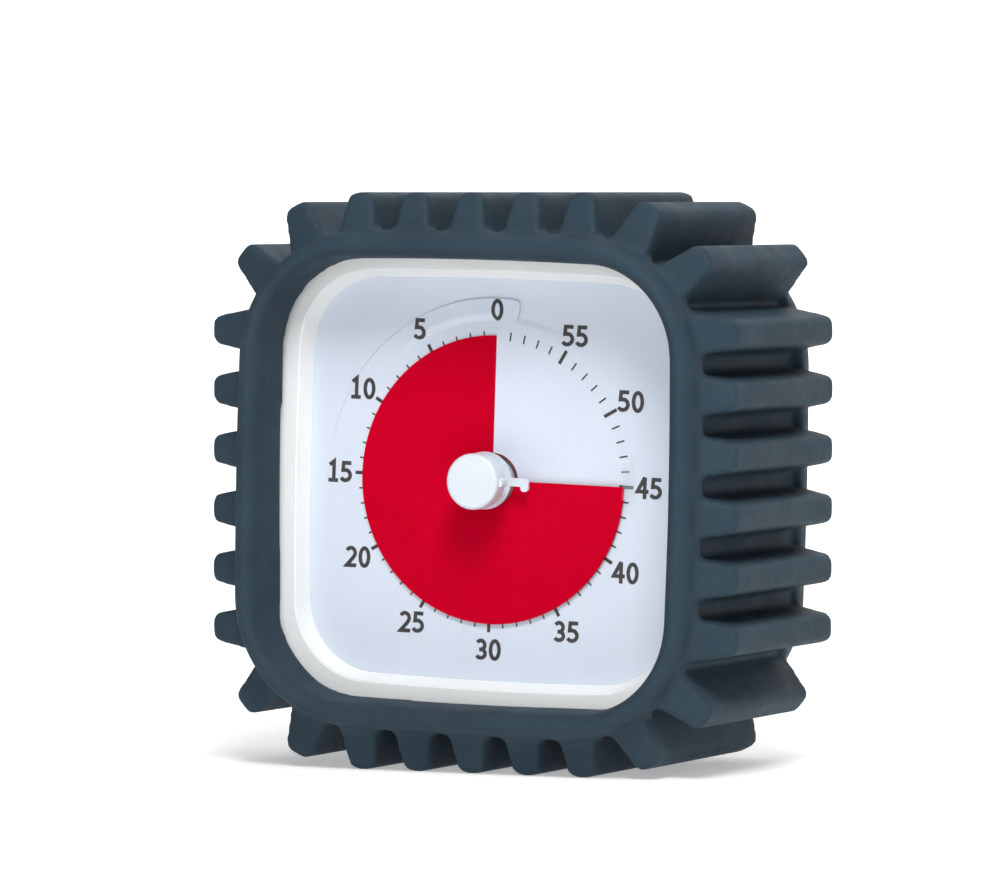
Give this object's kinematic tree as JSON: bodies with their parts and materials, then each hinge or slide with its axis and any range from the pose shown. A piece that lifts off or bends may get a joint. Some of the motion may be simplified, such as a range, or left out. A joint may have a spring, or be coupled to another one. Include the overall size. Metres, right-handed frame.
{
  "type": "visual countdown timer",
  "caption": "Square sixty-minute visual countdown timer with a winding red disc and centre knob behind a clear lens, in a deep ribbed silicone cover with a recessed front.",
  "frame": {"origin": "centre of the overall box, on the surface the bottom ribs rest on", "axes": "-Z is the resting face, -Y faces the user and carries the dial, +Y is the battery side, +X is to the right of someone facing the dial"},
  "size_m": [0.1036, 0.059, 0.1044],
  "materials": {
    "silicone": "matte moulded silicone",
    "clear_plastic": "clear polished",
    "white_plastic": "satin white moulding",
    "inner_plastic": "fine texture",
    "card": "matte printed sheet",
    "red_film": "matte film",
    "tab_film": "matte film",
    "knob_plastic": "satin",
    "hub_plastic": "satin",
    "steel": "turned",
    "spring_steel": "rolled",
    "acetal": "moulded",
    "cam_plastic": "moulded",
    "brass": "turned",
    "magnet": "sintered",
    "movement_plastic": "moulded",
    "lamination": "stamped",
    "bobbin_plastic": "moulded",
    "copper": "enamelled wire",
    "contact_metal": "stamped leaf on a moulded block",
    "circuit_board": "solder mask",
    "chip": "moulded",
    "can": "drawn",
    "buzzer_plastic": "moulded",
    "pot_body": "moulded",
    "volume_plastic": "moulded",
    "battery_wrap": "printed sleeve",
    "plated_steel": "nickel plated",
    "door_plastic": "fine texture",
    "screw_steel": "zinc plated"
  },
  "bodies": {
    "timer_body": {"silicone_cover": "silicone", "front_lens": "clear_plastic", "front_housing": "white_plastic", "rear_housing": "inner_plastic", "dial_backplate": "inner_plastic", "dial_card": "card", "movement_case": "movement_plastic", "movement_cover": "movement_plastic", "stator": "lamination", "coil_bobbin": "bobbin_plastic", "coil_winding": "copper", "alarm_contact": "contact_metal", "main_pcb": "circuit_board", "control_chip": "chip", "crystal_can": "can", "buzzer": "buzzer_plastic", "volume_pot": "pot_body", "battery": "battery_wrap", "battery_contact_positive": "plated_steel", "battery_contact_negative": "plated_steel", "case_screws": "screw_steel", "movement_screws": "screw_steel", "movement_cover_screws": "screw_steel", "pcb_screws": "screw_steel"},
    "spindle": {"knob": "knob_plastic", "disc_hub": "hub_plastic", "spindle_shaft": "steel", "alarm_cam": "cam_plastic", "clutch_collar": "brass", "clutch_spring": "spring_steel", "centre_wheel": "acetal", "retaining_ring": "spring_steel"},
    "disc": {"red_disc": "red_film", "disc_guide_tab": "tab_film"},
    "third_wheel_body": {"third_wheel": "acetal"},
    "second_wheel_body": {"second_wheel": "acetal"},
    "rotor": {"rotor_pinion": "acetal", "rotor_magnet": "magnet"},
    "volume_dial": {"volume_knob": "volume_plastic"},
    "door": {"battery_door": "door_plastic"}
  },
  "joints": [
    {"name": "spindle_turn", "type": "hinge", "parent": "timer_body", "child": "spindle", "pos_m": [0, -0.021, 0.05245], "axis": [0, -1, 0], "range_deg": [-270, 90]},
    {"name": "disc_wind", "type": "slide", "parent": "spindle", "child": "disc", "axis": [0, -1, 0], "range_m": [-0.0009, 0.0003]},
    {"name": "third_wheel_turn", "type": "hinge", "parent": "timer_body", "child": "third_wheel_body", "pos_m": [-0.01034, -0.0035, 0.04869], "axis": [0, -1, 0], "continuous": true},
    {"name": "second_wheel_turn", "type": "hinge", "parent": "timer_body", "child": "second_wheel_body", "pos_m": [-0.00743, -0.0035, 0.0407], "axis": [0, -1, 0], "continuous": true},
    {"name": "rotor_turn", "type": "hinge", "parent": "timer_body", "child": "rotor", "pos_m": [-0.00054, -0.0035, 0.03948], "axis": [0, -1, 0], "continuous": true},
    {"name": "volume_turn", "type": "hinge", "parent": "timer_body", "child": "volume_dial", "pos_m": [0.014, 0.0275, 0.06795], "axis": [0, 1, 0], "range_deg": [-135, 135]},
    {"name": "battery_door_hinge", "type": "hinge", "parent": "timer_body", "child": "door", "pos_m": [0, 0.026, 0.02975], "axis": [-1, 0, 0], "range_deg": [0, 90]}
  ],
  "couplings": [
    {"joint": "disc_wind", "follows": "spindle_turn", "m_per_rad": 0.00019099},
    {"joint": "third_wheel_turn", "follows": "spindle_turn", "ratio": -10},
    {"joint": "second_wheel_turn", "follows": "spindle_turn", "ratio": 75},
    {"joint": "rotor_turn", "follows": "spindle_turn", "ratio": -450}
  ]
}
